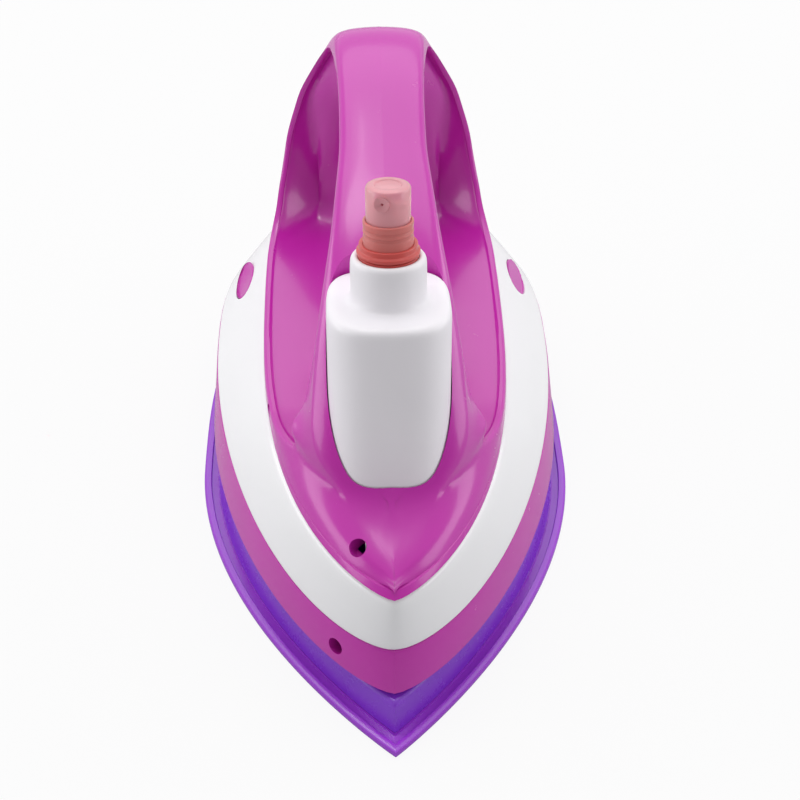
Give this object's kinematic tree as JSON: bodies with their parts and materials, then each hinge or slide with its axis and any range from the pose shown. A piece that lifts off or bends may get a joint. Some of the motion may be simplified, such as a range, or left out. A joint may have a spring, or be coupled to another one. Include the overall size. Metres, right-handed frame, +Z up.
{
  "type": "toy iron",
  "caption": "Pretend-play iron with an open handle, a stepped sole, a white trim band and a lift-out spray bottle with a working finger pump.",
  "frame": {"origin": "centre of the box round the part, on the ground under the sole", "axes": "+Z up, -Y towards the pointed nose, +X to the right of a viewer who faces the nose"},
  "size_m": [0.12, 0.21, 0.1363],
  "materials": {
    "pink_plastic": "moulded gloss, orchid pink",
    "white_gloss": "polished white",
    "sole_purple": "moulded gloss, bright purple",
    "skirt_violet": "moulded satin gloss, violet",
    "bottle_white": "blow-moulded satin white",
    "clear_red": "tinted clear moulding, red",
    "clear_coral": "tinted clear moulding, coral",
    "clear_pink": "tinted clear moulding, pink",
    "clear_natural": "natural polypropylene",
    "piston_white": "plain moulded",
    "gasket_rubber": "die-cut",
    "steel": "plated"
  },
  "bodies": {
    "housing": {"screw_side_shell": "pink_plastic", "boss_side_shell": "pink_plastic", "white_band": "white_gloss", "sole_plate": "sole_purple", "sole_skirt": "skirt_violet", "shell_screws": "steel", "sole_screws": "steel"},
    "bottle": {"spray_bottle": "bottle_white"},
    "pump": {"turret_sleeve": "clear_coral", "neck_gasket": "gasket_rubber", "pump_chamber": "clear_natural", "inlet_ball": "steel", "dip_tube": "clear_natural", "pump_spring": "steel"},
    "collar": {"screw_collar": "clear_red"},
    "plunger": {"pump_piston": "piston_white", "pump_stem": "piston_white"},
    "actuator": {"pump_button": "clear_pink", "nozzle_insert": "clear_coral"}
  },
  "joints": [
    {"name": "bottle_lift", "type": "slide", "parent": "housing", "child": "bottle", "axis": [0, 0.2588, 0.9659], "range_m": [0, 0.065]},
    {"name": "pump_rise", "type": "slide", "parent": "bottle", "child": "pump", "axis": [0, 0.2588, 0.9659], "range_m": [0, 0.008]},
    {"name": "collar_turn", "type": "hinge", "parent": "pump", "child": "collar", "pos_m": [0, -0.02094, 0.11545], "axis": [0, 0.2588, 0.9659], "range_deg": [0, 962]},
    {"name": "pump_press", "type": "slide", "parent": "pump", "child": "plunger", "axis": [0, -0.2588, -0.9659], "range_m": [0, 0.004], "stiffness_N_per_m": 800, "springref_m": -0.003, "deforming": ["pump_spring"]},
    {"name": "button_swivel", "type": "hinge", "parent": "plunger", "child": "actuator", "pos_m": [0, -0.01659, 0.13168], "axis": [0, 0.2588, 0.9659], "continuous": true}
  ],
  "couplings": [
    {"joint": "collar_turn", "follows": "pump_rise", "rad_per_m": 2094.4}
  ]
}
